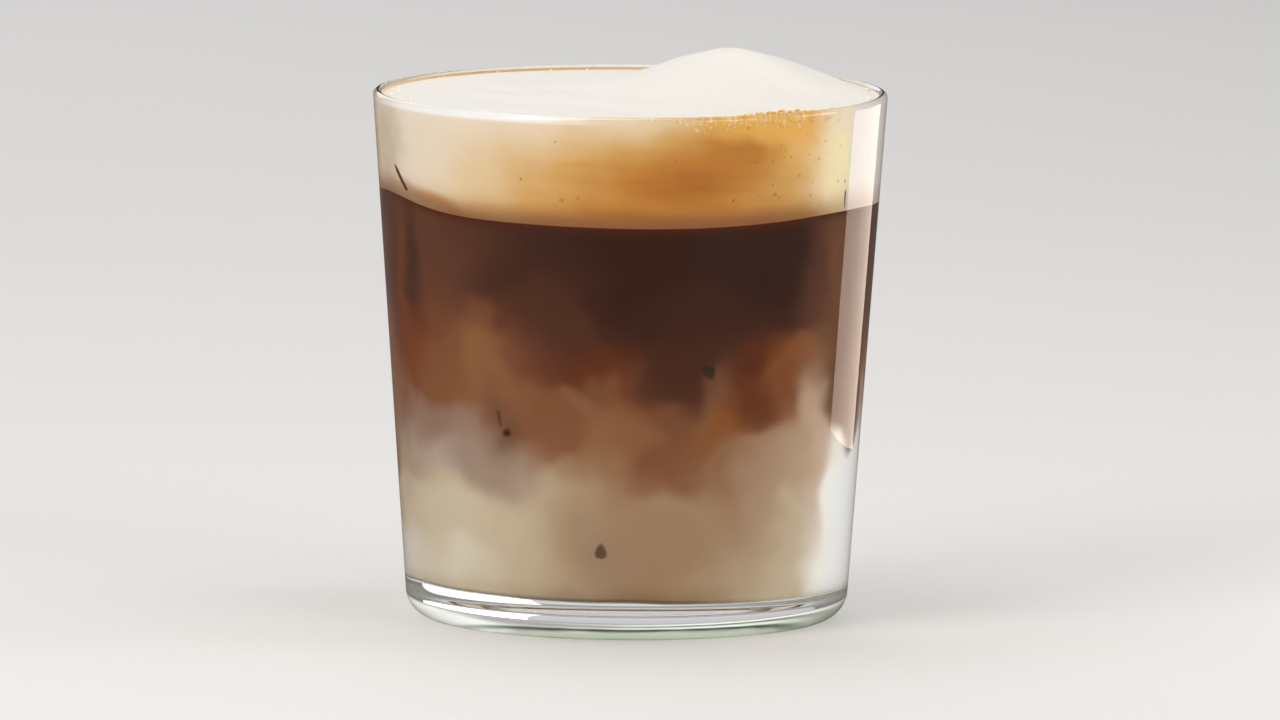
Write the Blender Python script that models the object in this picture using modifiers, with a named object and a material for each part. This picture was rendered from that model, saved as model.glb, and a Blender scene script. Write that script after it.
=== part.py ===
"""Layered iced latte in a tapered tumbler, at real size in metres, +Z up.

The tumbler stands on its foot ring, with the origin at the centre of the foot. The front of the
drink faces -Y. From the floor of the tumbler up lie milk, a marbled blend, dark coffee and foam,
each its own solid. Their meeting surfaces billow, and the foam carries a soft off-centre peak.
"""

import math

import bpy
import numpy as np

MM = 0.001

# Tumbler, outside
GLASS_HEIGHT = 88.5 * MM
RIM_RADIUS = 43.0 * MM
SHOULDER_RADIUS = 37.0 * MM
FOOT_CORNER = 5.0 * MM
FOOT_RING_WIDTH = 3.0 * MM
PUNT_DEPTH = 1.6 * MM

# Tumbler, inside
RIM_WALL = 1.6 * MM
LOWER_WALL = 2.4 * MM
FLOOR_HEIGHT = 6.2 * MM
INNER_CORNER = 4.0 * MM

# Contents
GAP = 0.3 * MM
MILK_TOP = 27.5 * MM
BLEND_TOP = 47.0 * MM
COFFEE_TOP = 70.3 * MM
FOAM_BELOW_RIM = 1.3 * MM
FOAM_CLIMB = 0.5 * MM

SEGMENTS = 48
SURFACE_RINGS = 7
FOAM_RINGS = 14
MERGE_DISTANCE = 0.00001

# Swells of a meeting surface: azimuth from the front towards +X in degrees, then the distance
# from the axis, the height and the spread, in millimetres.
MILK_SWELLS = (
    (-22, 30, 2.4, 11),
    (14, 30, -4.6, 12),
    (62, 33, 10.5, 13),
    (128, 24, 4.0, 12),
    (185, 30, -3.5, 13),
    (248, 28, 5.5, 12),
)
BLEND_SWELLS = (
    (-36, 31, 7.0, 10),
    (-70, 32, 3.0, 10),
    (-2, 30, -4.5, 9),
    (15, 30, -8.0, 9),
    (50, 32, -3.0, 11),
    (72, 32, 4.0, 9),
    (120, 27, -6.0, 12),
    (176, 29, 5.5, 12),
    (232, 27, -6.5, 12),
)
COFFEE_SWELLS = (
    (-76, 37, 2.5, 10.5),
    (10, 34, -0.6, 16),
    (62, 37, 0.7, 12),
    (160, 34, -0.8, 15),
    (215, 36, 1.6, 13),
)

# Foam peak: where it stands, how high over the foam, and how far it spreads
PEAK_PLACE = (17.2 * MM, 13.5 * MM)
PEAK_HEIGHT = 7.7 * MM
PEAK_SPREAD = (18.5 * MM, 15.5 * MM)
PEAK_TURN = math.radians(18)
PEAK_SHARPNESS = 1.45
RIPPLE_HEIGHT = 0.28 * MM
RIPPLE_LENGTH = 21.0 * MM


def clear_scene():
    for obj in list(bpy.data.objects):
        bpy.data.objects.remove(obj, do_unlink=True)


def outer_radius(height):
    """The straight taper of the outer wall."""
    share = (height - FOOT_CORNER) / (GLASS_HEIGHT - FOOT_CORNER)
    return SHOULDER_RADIUS + (RIM_RADIUS - SHOULDER_RADIUS) * share


def inner_radius(height):
    """The cavity's radius: the tapered wall, then the rounded corner down to the floor."""
    top_of_corner = FLOOR_HEIGHT + INNER_CORNER
    height = np.asarray(height, float)
    share = np.clip((height - top_of_corner) / (GLASS_HEIGHT - top_of_corner), 0, 1)
    wall = LOWER_WALL + (RIM_WALL - LOWER_WALL) * share
    straight = outer_radius(np.maximum(height, top_of_corner)) - wall
    below = np.clip((top_of_corner - height) / INNER_CORNER, 0, 1)
    return straight - INNER_CORNER * (1 - np.sqrt(1 - below**2))


def arc(centre, radius, start, end, steps):
    """Points (radius, height) along an arc, angles in degrees from the outward direction."""
    angles = np.radians(np.linspace(start, end, steps + 1))
    return [(centre[0] + radius * math.cos(a), centre[1] + radius * math.sin(a)) for a in angles]


def tumbler_profile():
    """The tumbler's section, from the cavity floor over the rim and down to the underside."""
    corner_top = FLOOR_HEIGHT + INNER_CORNER
    corner_centre = (float(inner_radius(corner_top)) - INNER_CORNER, corner_top)
    rim_centre = (RIM_RADIUS - RIM_WALL / 2, GLASS_HEIGHT - RIM_WALL / 2)
    foot_centre = (SHOULDER_RADIUS - FOOT_CORNER, FOOT_CORNER)
    ring_inside = foot_centre[0] - FOOT_RING_WIDTH
    punt = [
        (ring_inside * share, PUNT_DEPTH * math.sqrt(1 - share**2))
        for share in (0.985, 0.9, 0.7, 0.4)
    ]
    return [
        (0, FLOOR_HEIGHT),
        *arc(corner_centre, INNER_CORNER, -90, 0, 5),
        *arc(rim_centre, RIM_WALL / 2, 180, 0, 8),
        *arc(foot_centre, FOOT_CORNER, 0, -90, 7),
        (ring_inside, 0),
        *punt,
        (0, PUNT_DEPTH),
    ]


def blank_profile(top_rings, wall_shares, bottom_rings):
    """A unit disc's section: share of the radius out, share of the height up."""
    top = [(share, 1) for share in np.linspace(0, 1, top_rings + 1)]
    wall = [(1, share) for share in wall_shares]
    bottom = [(share, 0) for share in np.linspace(1, 0, bottom_rings + 1)]
    return top + wall + bottom


def turned(name, profile):
    """A mesh turned about Z from a section of (radius, height) points."""
    data = bpy.data.meshes.new(name)
    points = [(radius, 0, height) for radius, height in profile]
    edges = [(i, i + 1) for i in range(len(points) - 1)]
    data.from_pydata(points, edges, [])
    obj = bpy.data.objects.new(name, data)
    bpy.context.scene.collection.objects.link(obj)
    screw = obj.modifiers.new("turn", "SCREW")
    screw.steps = screw.render_steps = SEGMENTS
    screw.use_merge_vertices = True
    screw.merge_threshold = MERGE_DISTANCE
    graph = bpy.context.evaluated_depsgraph_get()
    data = bpy.data.meshes.new_from_object(obj.evaluated_get(graph))
    obj.modifiers.clear()
    obj.data = data
    data.name = name
    return obj


def swelling(x, y, swells):
    """The sum of round swells over the plane, in metres."""
    total = np.zeros_like(x)
    for azimuth, distance, height, spread in swells:
        turn = math.radians(azimuth)
        away_x = x - distance * MM * math.sin(turn)
        away_y = y + distance * MM * math.cos(turn)
        total += height * MM * np.exp(-(away_x**2 + away_y**2) / (2 * (spread * MM) ** 2))
    return total


def floor_surface(x, y):
    return np.full_like(x, FLOOR_HEIGHT + GAP / 2)


def milk_surface(x, y):
    return MILK_TOP + swelling(x, y, MILK_SWELLS)


def blend_surface(x, y):
    return BLEND_TOP + swelling(x, y, BLEND_SWELLS)


def coffee_surface(x, y):
    return COFFEE_TOP + swelling(x, y, COFFEE_SWELLS)


def foam_surface(x, y):
    """Nearly level foam that climbs the wall a little, with long ripples and one soft peak."""
    level = GLASS_HEIGHT - FOAM_BELOW_RIM
    share = np.hypot(x, y) / inner_radius(level)
    climb = FOAM_CLIMB * share**8
    ripple = RIPPLE_HEIGHT * np.sin((x + 0.4 * y) / RIPPLE_LENGTH * math.tau)
    ripple *= np.cos((y - 0.3 * x) / (1.3 * RIPPLE_LENGTH) * math.tau) * (1 - share**4)
    along_x, along_y = x - PEAK_PLACE[0], y - PEAK_PLACE[1]
    u = (along_x * math.cos(PEAK_TURN) + along_y * math.sin(PEAK_TURN)) / PEAK_SPREAD[0]
    v = (along_y * math.cos(PEAK_TURN) - along_x * math.sin(PEAK_TURN)) / PEAK_SPREAD[1]
    distance = np.sqrt(u**2 + v**2 + 0.02)
    peak = PEAK_HEIGHT * np.exp(-(distance**PEAK_SHARPNESS))
    return level + climb + ripple + peak * (1 - share**10)


def layer(name, bottom, top, wall_shares, top_rings=SURFACE_RINGS, bottom_rings=SURFACE_RINGS):
    """A body that fills the cavity between two surfaces, clear of the glass and its neighbours.

    Two layers that meet share the same rings and the same cut of each face, so the gap holds.
    """
    obj = turned(name, blank_profile(top_rings, wall_shares, bottom_rings))
    count = len(obj.data.vertices)
    points = np.empty(count * 3)
    obj.data.vertices.foreach_get("co", points)
    points = points.reshape(count, 3)
    flat_x, flat_y, rise = points[:, 0].copy(), points[:, 1].copy(), points[:, 2].copy()
    reach = inner_radius(GLASS_HEIGHT) * np.ones(count)
    for _ in range(6):  # the wall tapers, so the reach follows the height that it leads to
        x, y = flat_x * reach, flat_y * reach
        low, high = bottom(x, y) + GAP / 2, top(x, y) - GAP / 2
        height = low + (high - low) * rise
        reach = inner_radius(height) - GAP
    points[:, 0], points[:, 1], points[:, 2] = x, y, height
    obj.data.vertices.foreach_set("co", points.ravel())
    obj.data.update()
    cut = obj.modifiers.new("cut", "TRIANGULATE")
    cut.quad_method = "SHORTEST_DIAGONAL"
    return obj


def material(name, colour, roughness, transmission=0.0):
    made = bpy.data.materials.new(name)
    made.use_nodes = True
    shader = made.node_tree.nodes["Principled BSDF"]
    shader.inputs["Base Color"].default_value = (*colour, 1)
    shader.inputs["Roughness"].default_value = roughness
    shader.inputs["Metallic"].default_value = 0
    shader.inputs["Transmission Weight"].default_value = transmission
    return made


def finish(obj, made, collection):
    obj.data.materials.clear()
    obj.data.materials.append(made)
    obj.data.shade_smooth()
    obj.data.set_sharp_from_angle(angle=math.radians(40))
    for holder in list(obj.users_collection):
        holder.objects.unlink(obj)
    collection.objects.link(obj)


def main():
    clear_scene()
    latte = bpy.data.collections.new("latte")
    bpy.context.scene.collection.children.link(latte)

    clear_glass = material("clear_glass", (0.95, 0.97, 0.96), 0.02, 1.0)
    finish(turned("glass", tumbler_profile()), clear_glass, latte)

    corner_shares = (0.8, 0.55, 0.3, 0.15, 0.07, 0.025)
    milk = layer("milk", floor_surface, milk_surface, corner_shares, bottom_rings=2)
    finish(milk, material("cold_milk", (0.72, 0.62, 0.47), 0.35), latte)

    even_shares = (0.75, 0.5, 0.25)
    blend = layer("blend", milk_surface, blend_surface, even_shares)
    finish(blend, material("milky_coffee", (0.27, 0.12, 0.05), 0.35), latte)

    coffee = layer("coffee", blend_surface, coffee_surface, even_shares)
    finish(coffee, material("dark_coffee", (0.045, 0.018, 0.011), 0.2), latte)

    foam = layer("foam", coffee_surface, foam_surface, even_shares, top_rings=FOAM_RINGS)
    finish(foam, material("milk_foam", (0.87, 0.80, 0.70), 0.6), latte)


main()
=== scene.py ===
import math

import bpy
import numpy as np
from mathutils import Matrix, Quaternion, Vector


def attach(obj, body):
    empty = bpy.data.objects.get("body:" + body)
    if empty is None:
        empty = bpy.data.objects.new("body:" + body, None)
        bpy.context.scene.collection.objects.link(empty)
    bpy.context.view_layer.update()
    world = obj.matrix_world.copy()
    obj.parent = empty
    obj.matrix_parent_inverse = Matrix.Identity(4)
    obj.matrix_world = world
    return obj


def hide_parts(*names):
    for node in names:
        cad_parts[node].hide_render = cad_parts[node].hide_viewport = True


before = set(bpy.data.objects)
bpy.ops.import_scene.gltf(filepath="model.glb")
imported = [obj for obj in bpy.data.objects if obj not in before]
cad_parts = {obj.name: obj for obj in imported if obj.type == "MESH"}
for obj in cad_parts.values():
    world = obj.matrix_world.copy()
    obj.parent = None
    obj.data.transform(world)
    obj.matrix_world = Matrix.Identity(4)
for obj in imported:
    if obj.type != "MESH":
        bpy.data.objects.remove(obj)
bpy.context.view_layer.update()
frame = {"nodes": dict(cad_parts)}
print("frame loaded:", ", ".join(frame["nodes"]))

mm = 0.001
turn = math.tau

# The tumbler's sizes in millimetres, as the solids have them
tumbler = {
    "height": 88.5,
    "rimRadius": 43.0,
    "shoulderRadius": 37.0,
    "footCorner": 5.0,
    "footRing": 3.0,
    "punt": 1.6,
    "rimWall": 1.6,
    "lowerWall": 2.4,
    "floorHeight": 6.2,
    "innerCorner": 4.0,
    "floorLean": -0.016,  # the inside floor falls this much per millimetre towards +X
    "floorWave": 0.08,
    "floorWaveLength": 17.0,
}

# Mean height of each meeting surface and its swells: azimuth from the front towards +X in
# degrees, then distance from the axis, height and spread in millimetres, as in the solids
surfaces = {
    "milk": (27.5, (
        (-22, 30, 2.4, 11), (14, 30, -4.6, 12), (62, 33, 10.5, 13),
        (128, 24, 4.0, 12), (185, 30, -3.5, 13), (248, 28, 5.5, 12),
    )),
    "blend": (47.0, (
        (-36, 31, 7.0, 10), (-70, 32, 3.0, 10), (-2, 30, -4.5, 9), (15, 30, -8.0, 9),
        (50, 32, -3.0, 11), (72, 32, 4.0, 9), (120, 27, -6.0, 12), (176, 29, 5.5, 12),
        (232, 27, -6.5, 12),
    )),
    "coffee": (70.3, (
        (-76, 37, 2.5, 10.5), (10, 34, -0.6, 16), (62, 37, 0.7, 12), (160, 34, -0.8, 15),
        (215, 36, 1.6, 13),
    )),
}


# Shapes that more than one piece uses

def smoothStep(low, high, value):
    # 0 below low, 1 above high, and 3t^2 - 2t^3 between
    t = np.clip((value - low) / (high - low), 0, 1)
    return t * t * (3 - 2 * t)


def waveNoise(points, wavelength, seed, count=26):
    # Sum of plane waves in random directions, each of about this wavelength, with a spread of 1
    random = np.random.default_rng(seed)
    direction = random.normal(size=(count, 3))
    direction /= np.linalg.norm(direction, axis=1, keepdims=True)
    number = turn / (wavelength * random.uniform(0.65, 1.6, count))
    phase = random.uniform(0, turn, count)
    return np.sin(points @ (direction * number[:, None]).T + phase).sum(axis=-1) * math.sqrt(2 / count)


def outerRadius(height):
    # Straight taper from the shoulder to the rim
    share = (height - tumbler["footCorner"]) / (tumbler["height"] - tumbler["footCorner"])
    return tumbler["shoulderRadius"] + (tumbler["rimRadius"] - tumbler["shoulderRadius"]) * share


def innerRadius(height):
    # Outer taper less a wall that thins upwards; a quarter circle joins it to the floor
    corner = tumbler["innerCorner"]
    cornerTop = tumbler["floorHeight"] + corner
    height = np.asarray(height, float)
    share = np.clip((height - cornerTop) / (tumbler["height"] - cornerTop), 0, 1)
    wall = tumbler["lowerWall"] + (tumbler["rimWall"] - tumbler["lowerWall"]) * share
    straight = outerRadius(np.maximum(height, cornerTop)) - wall
    below = np.clip((cornerTop - height) / corner, 0, 1)
    return straight - corner * (1 - np.sqrt(1 - below**2))


def floorShift(points):
    # How far the inside floor is off level: a lean and a slow wave, fading out up the corner
    x, y, z = points[..., 0], points[..., 1], points[..., 2]
    fade = 1 - smoothStep(0, tumbler["innerCorner"], z - tumbler["floorHeight"])
    wave = waveNoise(points * (1, 1, 0), tumbler["floorWaveLength"], 5)
    return fade * (tumbler["floorLean"] * x + tumbler["floorWave"] * wave)


def azimuthOf(x, y):
    # Degrees from the front, -Y, towards +X
    return np.degrees(np.arctan2(x, -y))


def meetingHeight(name, x, y):
    # Mean height plus round swells, each a bell over the plane
    level, swells = surfaces[name]
    total = np.full_like(x, level)
    for azimuth, distance, height, spread in swells:
        angle = math.radians(azimuth)
        awayX = x - distance * math.sin(angle)
        awayY = y + distance * math.cos(angle)
        total += height * np.exp(-(awayX**2 + awayY**2) / (2 * spread**2))
    return total


def closedFaces(count, segments):
    # Faces between rings of points that follow one another, and the two fans to the poles
    row, column = np.meshgrid(np.arange(count - 1), np.arange(segments), indexing="ij")
    following = (column + 1) % segments
    quads = np.stack((
        row * segments + column, (row + 1) * segments + column,
        (row + 1) * segments + following, row * segments + following,
    ), axis=-1).reshape(-1, 4)
    around = np.arange(segments)
    after = (around + 1) % segments
    last = (count - 1) * segments
    top = np.stack((np.full(segments, count * segments), around, after), axis=-1)
    bottom = np.stack((np.full(segments, count * segments + 1), last + after, last + around), axis=-1)
    return [quads, top, bottom]


def closedSurface(name, rings, firstPole, lastPole):
    # Rings of points (ring, segment, xyz) in millimetres, from the first pole to the last one
    points = np.vstack((rings.reshape(-1, 3), firstPole, lastPole)) * mm
    return meshFrom(name, points, closedFaces(*rings.shape[:2]))


def meshFrom(name, points, faceGroups):
    # Points in metres and groups of faces that each have one number of corners
    mesh = bpy.data.meshes.new(name)
    corners = np.concatenate([group.ravel() for group in faceGroups])
    sizes = np.concatenate([np.full(len(group), group.shape[1]) for group in faceGroups])
    mesh.vertices.add(len(points))
    mesh.vertices.foreach_set("co", np.ascontiguousarray(points, np.float32).ravel())
    mesh.loops.add(len(corners))
    mesh.loops.foreach_set("vertex_index", corners.astype(np.int32))
    mesh.polygons.add(len(sizes))
    starts = np.concatenate(([0], np.cumsum(sizes)[:-1]))
    mesh.polygons.foreach_set("loop_start", starts.astype(np.int32))
    mesh.update(calc_edges=True)
    mesh.validate()
    mesh.shade_smooth()
    piece = bpy.data.objects.new(name, mesh)
    bpy.context.scene.collection.objects.link(piece)
    return piece


def turnedRings(radii, heights, segments):
    # A profile carried once round the axis, starting at +X and going towards +Y
    angle = np.linspace(0, turn, segments, endpoint=False)
    x = radii[:, None] * np.cos(angle)
    y = radii[:, None] * np.sin(angle)
    z = np.repeat(heights[:, None], segments, axis=1)
    return np.stack((x, y, z), axis=-1)


def setColours(piece, name, colours):
    layer = piece.data.color_attributes.new(name, "FLOAT_COLOR", "POINT")
    full = np.ones((len(piece.data.vertices), 4), np.float32)
    full[:, :3] = colours
    layer.data.foreach_set("color", full.ravel())


def pointsOf(piece):
    # The mesh's points in millimetres
    points = np.empty(len(piece.data.vertices) * 3, np.float32)
    piece.data.vertices.foreach_get("co", points)
    return points.reshape(-1, 3).astype(float) / mm


def linear(code):
    # A colour written as six hex digits, as light
    channels = np.array([int(code[i:i + 2], 16) / 255 for i in (0, 2, 4)])
    return np.where(channels <= 0.04045, channels / 12.92, ((channels + 0.055) / 1.055) ** 2.4)


def turnedFrom(azimuth, place):
    # Degrees round the axis from a place, from -180 to 180
    return (azimuth - place + 180) % 360 - 180


def warped(points, warps, upwards=1.0):
    # Points shifted by waves, each (wavelength, shift, seed); their heights by this share of it
    shifted = points.copy()
    for wavelength, shift, seed in warps:
        for axis, share in enumerate((1.0, 1.0, upwards)):
            shifted[:, axis] += shift * share * waveNoise(points, wavelength, seed * 3 + axis)
    return shifted


def ramp(value, stops):
    # Colours between stops, each a place and the colour there
    places, colours = zip(*stops)
    colours = np.array(colours)
    return np.column_stack([np.interp(value, places, colours[:, channel]) for channel in range(3)])


def towards(colours, tone, cover):
    # Colours moved to a tone, by a share for each point
    return colours + (tone - colours) * cover[:, None]


def softCover(away, softness):
    # 1 inside a patch, where away is under 1, and falling to 0 across its edge
    return 1 - smoothStep(1 - softness, 1 + softness, away)


def brush(colours, azimuth, height, patches, tones, radius):
    # Lays soft ovals of tone over the colours. Each is (azimuth, height, half width, half height,
    # turn, softness, tone, strength).
    for place, level, width, rise, angle, softness, tone, strength in patches:
        across = np.radians(turnedFrom(azimuth, place)) * radius
        up = height - level
        slant = math.radians(angle)
        u = (across * math.cos(slant) + up * math.sin(slant)) / width
        v = (up * math.cos(slant) - across * math.sin(slant)) / rise
        colours = towards(colours, tones[tone], strength * softCover(np.hypot(u, v), softness))
    return colours


# Parts of materials that more than one finish uses

def newMaterial(name):
    made = bpy.data.materials.new(name)
    made.use_nodes = True
    tree = made.node_tree
    return made, tree, tree.nodes["Principled BSDF"]


def addNode(tree, kind, **settings):
    node = tree.nodes.new(kind)
    for key, value in settings.items():
        setattr(node, key, value)
    return node


def join(tree, source, output, target, entry):
    tree.links.new(source.outputs[output], target.inputs[entry])


def setInputs(node, values):
    for name, value in values.items():
        node.inputs[name].default_value = value


def makeMottle():
    # Varies a colour a little over the surface, and gives a matching height for bump
    group = bpy.data.node_groups.new("mottle", "ShaderNodeTree")
    face = group.interface
    face.new_socket("Color", in_out="INPUT", socket_type="NodeSocketColor")
    for name, value in (("Scale", 400.0), ("Amount", 0.1), ("Detail", 3.0)):
        socket = face.new_socket(name, in_out="INPUT", socket_type="NodeSocketFloat")
        socket.default_value = value
    face.new_socket("Color", in_out="OUTPUT", socket_type="NodeSocketColor")
    face.new_socket("Height", in_out="OUTPUT", socket_type="NodeSocketFloat")
    inside = addNode(group, "NodeGroupInput")
    outside = addNode(group, "NodeGroupOutput")
    place = addNode(group, "ShaderNodeTexCoord")
    noise = addNode(group, "ShaderNodeTexNoise")
    shade = addNode(group, "ShaderNodeMath", operation="MULTIPLY_ADD")
    lift = addNode(group, "ShaderNodeMath", operation="MULTIPLY_ADD")
    scale = addNode(group, "ShaderNodeVectorMath", operation="SCALE")
    join(group, place, "Object", noise, "Vector")
    join(group, inside, "Scale", noise, "Scale")
    join(group, inside, "Detail", noise, "Detail")
    # brightness = 1 + (noise - 0.5) * amount
    join(group, noise, "Fac", shade, 0)
    join(group, inside, "Amount", shade, 1)
    join(group, inside, "Amount", lift, 0)
    lift.inputs[1].default_value = -0.5
    lift.inputs[2].default_value = 1.0
    join(group, lift, "Value", shade, 2)
    join(group, inside, "Color", scale, 0)
    join(group, shade, "Value", scale, "Scale")
    join(group, scale, "Vector", outside, "Color")
    join(group, noise, "Fac", outside, "Height")
    return group


mottle = makeMottle()


def addMottle(tree, colour, scale, amount, detail=3.0):
    # The mottle group set to these values; colour is a socket
    node = addNode(tree, "ShaderNodeGroup", node_tree=mottle)
    setInputs(node, {"Scale": scale, "Amount": amount, "Detail": detail})
    tree.links.new(colour, node.inputs["Color"])
    return node


def paintedMaterial(name, layer, scale, amount, roughness, specular, detail=3.0):
    # A finish whose colour is painted on the mesh and slightly mottled
    made, tree, shader = newMaterial(name)
    colour = addNode(tree, "ShaderNodeVertexColor", layer_name=layer)
    varied = addMottle(tree, colour.outputs["Color"], scale, amount, detail)
    join(tree, varied, "Color", shader, "Base Color")
    setInputs(shader, {"Roughness": roughness, "Specular IOR Level": specular})
    return made, tree, shader, varied


# Camera at the photograph's angle

camera = {
    "distance": 5.0,  # metres, so the view is nearly parallel as in a long lens
    "elevation": 6.6,
    "roll": 0.45,
    "pixelsPerMetre": 5977.0,  # at the glass, in a frame 1280 pixels wide
    "frameWidth": 1280.0,
    "sensorWidth": 36.0,
    "aim": (1.95, 0.0, 43.2),  # millimetres
}


def placeCamera():
    data = bpy.data.cameras.new("camera")
    data.sensor_width = camera["sensorWidth"]
    pixels = camera["pixelsPerMetre"] * camera["distance"]
    data.lens = pixels * camera["sensorWidth"] / camera["frameWidth"]
    data.clip_start, data.clip_end = 0.1, 60
    eye = bpy.data.objects.new("camera", data)
    bpy.context.scene.collection.objects.link(eye)
    tilt = math.radians(camera["elevation"])
    forward = Vector((0, math.cos(tilt), -math.sin(tilt)))
    eye.location = Vector(camera["aim"]) * mm - forward * camera["distance"]
    eye.rotation_mode = "QUATERNION"
    rolled = Quaternion((0, 0, 1), math.radians(camera["roll"]))
    eye.rotation_quaternion = forward.to_track_quat("-Z", "Y") @ rolled
    bpy.context.scene.camera = eye


placeCamera()
print("camera placed")


# The tumbler

glass = {
    "segments": 288,
    "puntWave": 0.12,
    "puntWaveLength": 17.0,
    "floorSteps": 26,
    "cornerSteps": 16,
    "wallSteps": 44,
    "lipSteps": 20,
    "footSteps": 22,
    "ringSteps": 4,
    "domeSteps": 22,
    "tint": (0.975, 0.99, 0.98),
    "lightTint": (0.97, 0.98, 0.975),
    "ior": 1.5,
}


def arcPoints(centre, radius, start, end, steps):
    # Points of a circle, angles in degrees from outwards
    angles = np.radians(np.linspace(start, end, steps + 1))
    return np.column_stack((centre[0] + radius * np.cos(angles), centre[1] + radius * np.sin(angles)))


def linePoints(start, end, steps):
    # Points between two places, the ends left out
    share = np.linspace(0, 1, steps + 1)[1:-1, None]
    return np.asarray(start) * (1 - share) + np.asarray(end) * share


def glassProfile():
    # From the middle of the inside floor up the inside wall, over the lip, down the outside and
    # under the foot to the middle of the hollow, which is a shallow dome
    corner = tumbler["innerCorner"]
    cornerTop = tumbler["floorHeight"] + corner
    cornerCentre = (float(innerRadius(cornerTop)) - corner, cornerTop)
    lip = tumbler["rimWall"] / 2
    lipCentre = (tumbler["rimRadius"] - lip, tumbler["height"] - lip)
    footCentre = (tumbler["shoulderRadius"] - tumbler["footCorner"], tumbler["footCorner"])
    ringInside = footCentre[0] - tumbler["footRing"]
    inCorner = arcPoints(cornerCentre, corner, -90, 0, glass["cornerSteps"])
    overLip = arcPoints(lipCentre, lip, 180, 0, glass["lipSteps"])
    footArc = arcPoints(footCentre, tumbler["footCorner"], 0, -90, glass["footSteps"])
    share = np.sin(np.linspace(math.pi / 2, 0, glass["domeSteps"]))[1:-1]
    dome = np.column_stack((ringInside * share, tumbler["punt"] * np.sqrt(1 - share**2)))
    return np.vstack((
        linePoints((0, tumbler["floorHeight"]), inCorner[0], glass["floorSteps"]), inCorner,
        linePoints(inCorner[-1], overLip[0], glass["wallSteps"]), overLip,
        linePoints(overLip[-1], footArc[0], glass["wallSteps"]), footArc,
        linePoints(footArc[-1], (ringInside, 0), glass["ringSteps"]), [(ringInside, 0)], dome,
    ))


def makeGlass():
    profile = glassProfile()
    rings = turnedRings(profile[:, 0], profile[:, 1], glass["segments"])
    x, y, z = rings[..., 0], rings[..., 1], rings[..., 2]
    # The inside floor and the hollow under the foot are a little uneven, as pressed glass is
    row = np.arange(len(profile))[:, None]
    inside = row < glass["floorSteps"] + glass["cornerSteps"]
    under = row > len(profile) - glass["domeSteps"]
    wave = waveNoise(rings * (1, 1, 0), glass["puntWaveLength"], 8)
    z += inside * floorShift(rings)
    ringInside = tumbler["shoulderRadius"] - tumbler["footCorner"] - tumbler["footRing"]
    z += under * glass["puntWave"] * wave * (1 - np.hypot(x, y) / ringInside).clip(0, 1)
    middles = [(0, 0, rings[row, :, 2].mean()) for row in (0, -1)]
    piece = closedSurface("glassTumbler", rings, *middles)
    piece.data.materials.append(clearGlass())
    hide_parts("glass")
    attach(piece, "root")


def clearGlass():
    # Bends and mirrors what the eye sees, and lets light from lamps and soft bounces reach the drink
    made, tree, shader = newMaterial("clearGlass")
    setInputs(shader, {
        "Base Color": (*glass["tint"], 1), "Roughness": 0.0, "IOR": glass["ior"], "Transmission Weight": 1.0,
    })
    path = addNode(tree, "ShaderNodeLightPath")
    either = addNode(tree, "ShaderNodeMath", operation="MAXIMUM")
    join(tree, path, "Is Shadow Ray", either, 0)
    join(tree, path, "Is Diffuse Ray", either, 1)
    through = addNode(tree, "ShaderNodeBsdfTransparent")
    through.inputs["Color"].default_value = (*glass["lightTint"], 1)
    mix = addNode(tree, "ShaderNodeMixShader")
    join(tree, either, "Value", mix, "Fac")
    join(tree, shader, "BSDF", mix, 1)
    join(tree, through, "BSDF", mix, 2)
    tree.links.new(mix.outputs["Shader"], tree.nodes["Material Output"].inputs["Surface"])
    return made


makeGlass()
print("glass made")


# Milk, blend and coffee

drink = {
    "segments": 480,
    "intoWall": 0.08,  # how far the drink reaches into the glass, so that no air shows
    "warps": ((13.0, 1.0, 21), (6.0, 0.35, 22), (2.6, 0.07, 23)),  # wavelength, shift, seed
    "rings": 10,  # on the top and the bottom of a layer
    "light": np.array((0.90, 0.88, 0.86)),  # share of the paint's light that reaches the eye
    "veil": 0.008,  # light that the glass mirrors over the drink
    "wallRadius": 38.0,  # for measuring along the wall
    "billows": (31, 26, 88, 275),  # seed, count, first and last azimuth
    "brimLine": (0.9, 0.85, 0.45),  # thickness, strength and shade, where the coffee meets the foam
    "footShadeLine": (0.4, 0.3, 0.85),  # height, thickness and strength of the painted shade, a dark line round the milk's foot
    "underReach": (0.12, 2.0),  # how far up the wall the underside's tones go: at the front, more behind
    "leastBlend": 4,  # where the blend is thinner, its tones run on over this height
    "finish": (150.0, 0.05, 0.5, 0.05),  # mottle's scale and amount, roughness, shine: none to speak of
    "floorStretch": (0.35, 1.0, 0.0),  # streaks on the underside run left to right
    "floorWave": 4.5,
    "floorContrast": 0.16,
}

layerCrease = 50  # degrees, so that the wall of a layer isn't shaded round its brim

# Tones as they are seen through the glass; the paint is stronger by what the lamps leave out
drinkTones = {name: (linear(code) - drink["veil"]) / drink["light"] for name, code in {
    "coffee": "36221d",
    "espresso": "472b21",
    "cocoa": "5e3b2d",
    "mahogany": "5a2f1e",
    "russet": "64392a",
    "sienna": "743f27",
    "umber": "6b4632",
    "brown": "784b32",
    "amber": "7f4b27",
    "caramel": "7f5236",
    "toffee": "875a3b",
    "ginger": "8b5839",
    "fawn": "875f43",
    "latte": "936c50",
    "mauve": "8f7262",
    "haze": "af9a8c",
    "rust": "70341a",
    "biscuit": "a5866c",
    "lilac": "967d6d",
    "tan": "9b7b5d",
    "beige": "ae8f73",
    "roseGlow": "c8aa94",
    "oat": "b19c7e",
    "cream": "c6b499",
    "pearl": "d6c9b8",
    "highlightIvory": "f6efe6",
    "bright": "fbfbf8",
    "silver": "b9b6ae",
    "lilacGrey": "a59da0",
    "greenGrey": "bac0b0",
    "pewter": "6f6a62",
    "pine": "38443a",
}.items()}

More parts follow.
